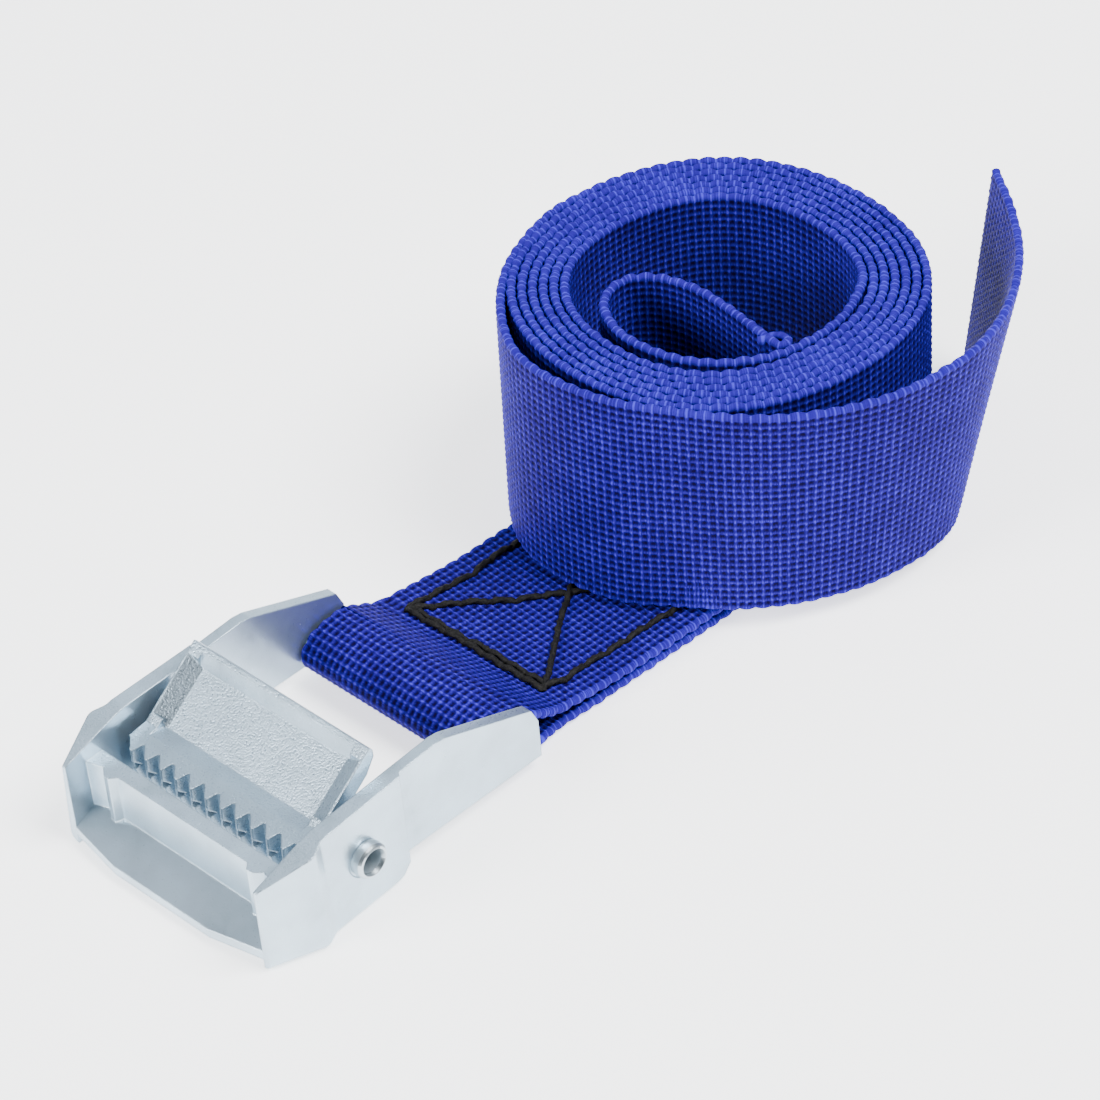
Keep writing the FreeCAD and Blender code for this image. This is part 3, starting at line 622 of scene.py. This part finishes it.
def make_studio():
    """A white room, brightest beyond the far right, darker to the near right and behind the camera."""
    world = bpy.data.worlds.new("studio")
    world.use_nodes = True
    nodes, links = world.node_tree.nodes, world.node_tree.links
    direction = nodes.new("ShaderNodeTexCoord").outputs["Generated"]
    colour = sky_part(nodes, links, direction, (0.6, 0.5, 0.6), [
        (-0.5, (0.25, 0.27, 0.30)), (0.5, (0.42, 0.46, 0.52)), (0.95, (1.25, 1.38, 1.54))])
    # Darker patches: where each lies, the cosines where it begins and is full, and the light left.
    patches = [((0.51, -0.84, 0.05), 0.60, 0.86, (0.20, 0.30, 0.36)),
               ((-0.50, -0.30, 0.80), 0.74, 0.93, (0.07, 0.07, 0.08)),
               ((-0.90, 0.45, 0.05), 0.80, 0.95, (0.30, 0.33, 0.40))]
    for toward, begin, full, left in patches:
        patch = sky_part(nodes, links, direction, toward, [(begin, (1, 1, 1)), (full, left)])
        both = nodes.new("ShaderNodeMix")
        both.data_type = "RGBA"
        both.blend_type = "MULTIPLY"
        both.inputs["Factor"].default_value = 1
        links.new(colour, both.inputs["A"])
        links.new(patch, both.inputs["B"])
        colour = both.outputs["Result"]
    links.new(colour, nodes["Background"].inputs["Color"])
    nodes["Background"].inputs["Strength"].default_value = 1.0
    bpy.context.scene.world = world


def make_stage():
    """A white light table, brightest under the object."""
    mesh = bpy.data.meshes.new("floor")
    mesh.from_pydata([(-TABLE, -TABLE, 0), (TABLE, -TABLE, 0), (TABLE, TABLE, 0),
                      (-TABLE, TABLE, 0)], [], [(0, 1, 2, 3)])
    floor = bpy.data.objects.new("floor", mesh)
    bpy.context.scene.collection.objects.link(floor)
    made, nodes, links, shader = material("floor_white")
    shader.inputs["Base Color"].default_value = (0.93, 0.93, 0.93, 1)
    shader.inputs["Roughness"].default_value = 0.9
    away = nodes.new("ShaderNodeVectorMath")
    away.operation = "DISTANCE"
    links.new(place_on(nodes, "Object"), away.inputs[0])
    away.inputs[1].default_value = (ROLL_CENTRE[0] / 2, 0, 0)
    glow = between(nodes, links, away.outputs["Value"], GLOW_INNER, GLOW_OUTER, GLOW, GLOW_FAR)
    shader.inputs["Emission Color"].default_value = (1, 1, 1, 1)
    links.new(glow, shader.inputs["Emission Strength"])
    mesh.materials.append(made)


def area_light(name, place, side, power):
    """A square lamp that points at the object."""
    lamp = bpy.data.lights.new(name, "AREA")
    lamp.shape = "SQUARE"
    lamp.size = side
    lamp.energy = power
    light = bpy.data.objects.new(name, lamp)
    light.location = place
    aim = Vector(LIT_PLACE) - Vector(place)
    light.rotation_euler = aim.to_track_quat("-Z", "Y").to_euler()
    bpy.context.scene.collection.objects.link(light)


def make_camera():
    """The photograph's view: from the front left, looking down."""
    lens = bpy.data.cameras.new("camera")
    lens.sensor_width = SENSOR
    lens.lens = LENS
    camera = bpy.data.objects.new("camera", lens)
    turn = (Matrix.Rotation(YAW, 4, "Z") @ Matrix.Rotation(math.pi / 2 - PITCH, 4, "X")
            @ Matrix.Rotation(ROLL, 4, "Z"))
    camera.matrix_world = Matrix.Translation(CAMERA_PLACE) @ turn
    bpy.context.scene.collection.objects.link(camera)
    bpy.context.scene.camera = camera


strap, strap_length, strap_middles = make_webbing()
stitches = make_stitching(strap_middles)
stitches.data.materials.append(thread_material())
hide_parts("box_x_stitching")
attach(stitches, "frame")

dress("buckle_frame", zinc_material("zinc_frame", ZINC, 0.28, 0.9, 0.12))
dress("cam_lever", zinc_material("zinc_lever", LEVER_ZINC, 0.27, 1.0, 0.0))
dress("hollow_rivet", zinc_material("zinc_rivet", RIVET_ZINC, 0.36, 0.3, 0.0))
dress("torsion_spring", zinc_material("spring_steel", SPRING_STEEL, 0.22, 0.2, 0.0))

make_stage()
make_studio()
area_light("key", place=(-0.80, 0.25, 0.50), side=0.45, power=14)
area_light("top", place=(0.25, -0.45, 0.80), side=0.5, power=18)
make_camera()
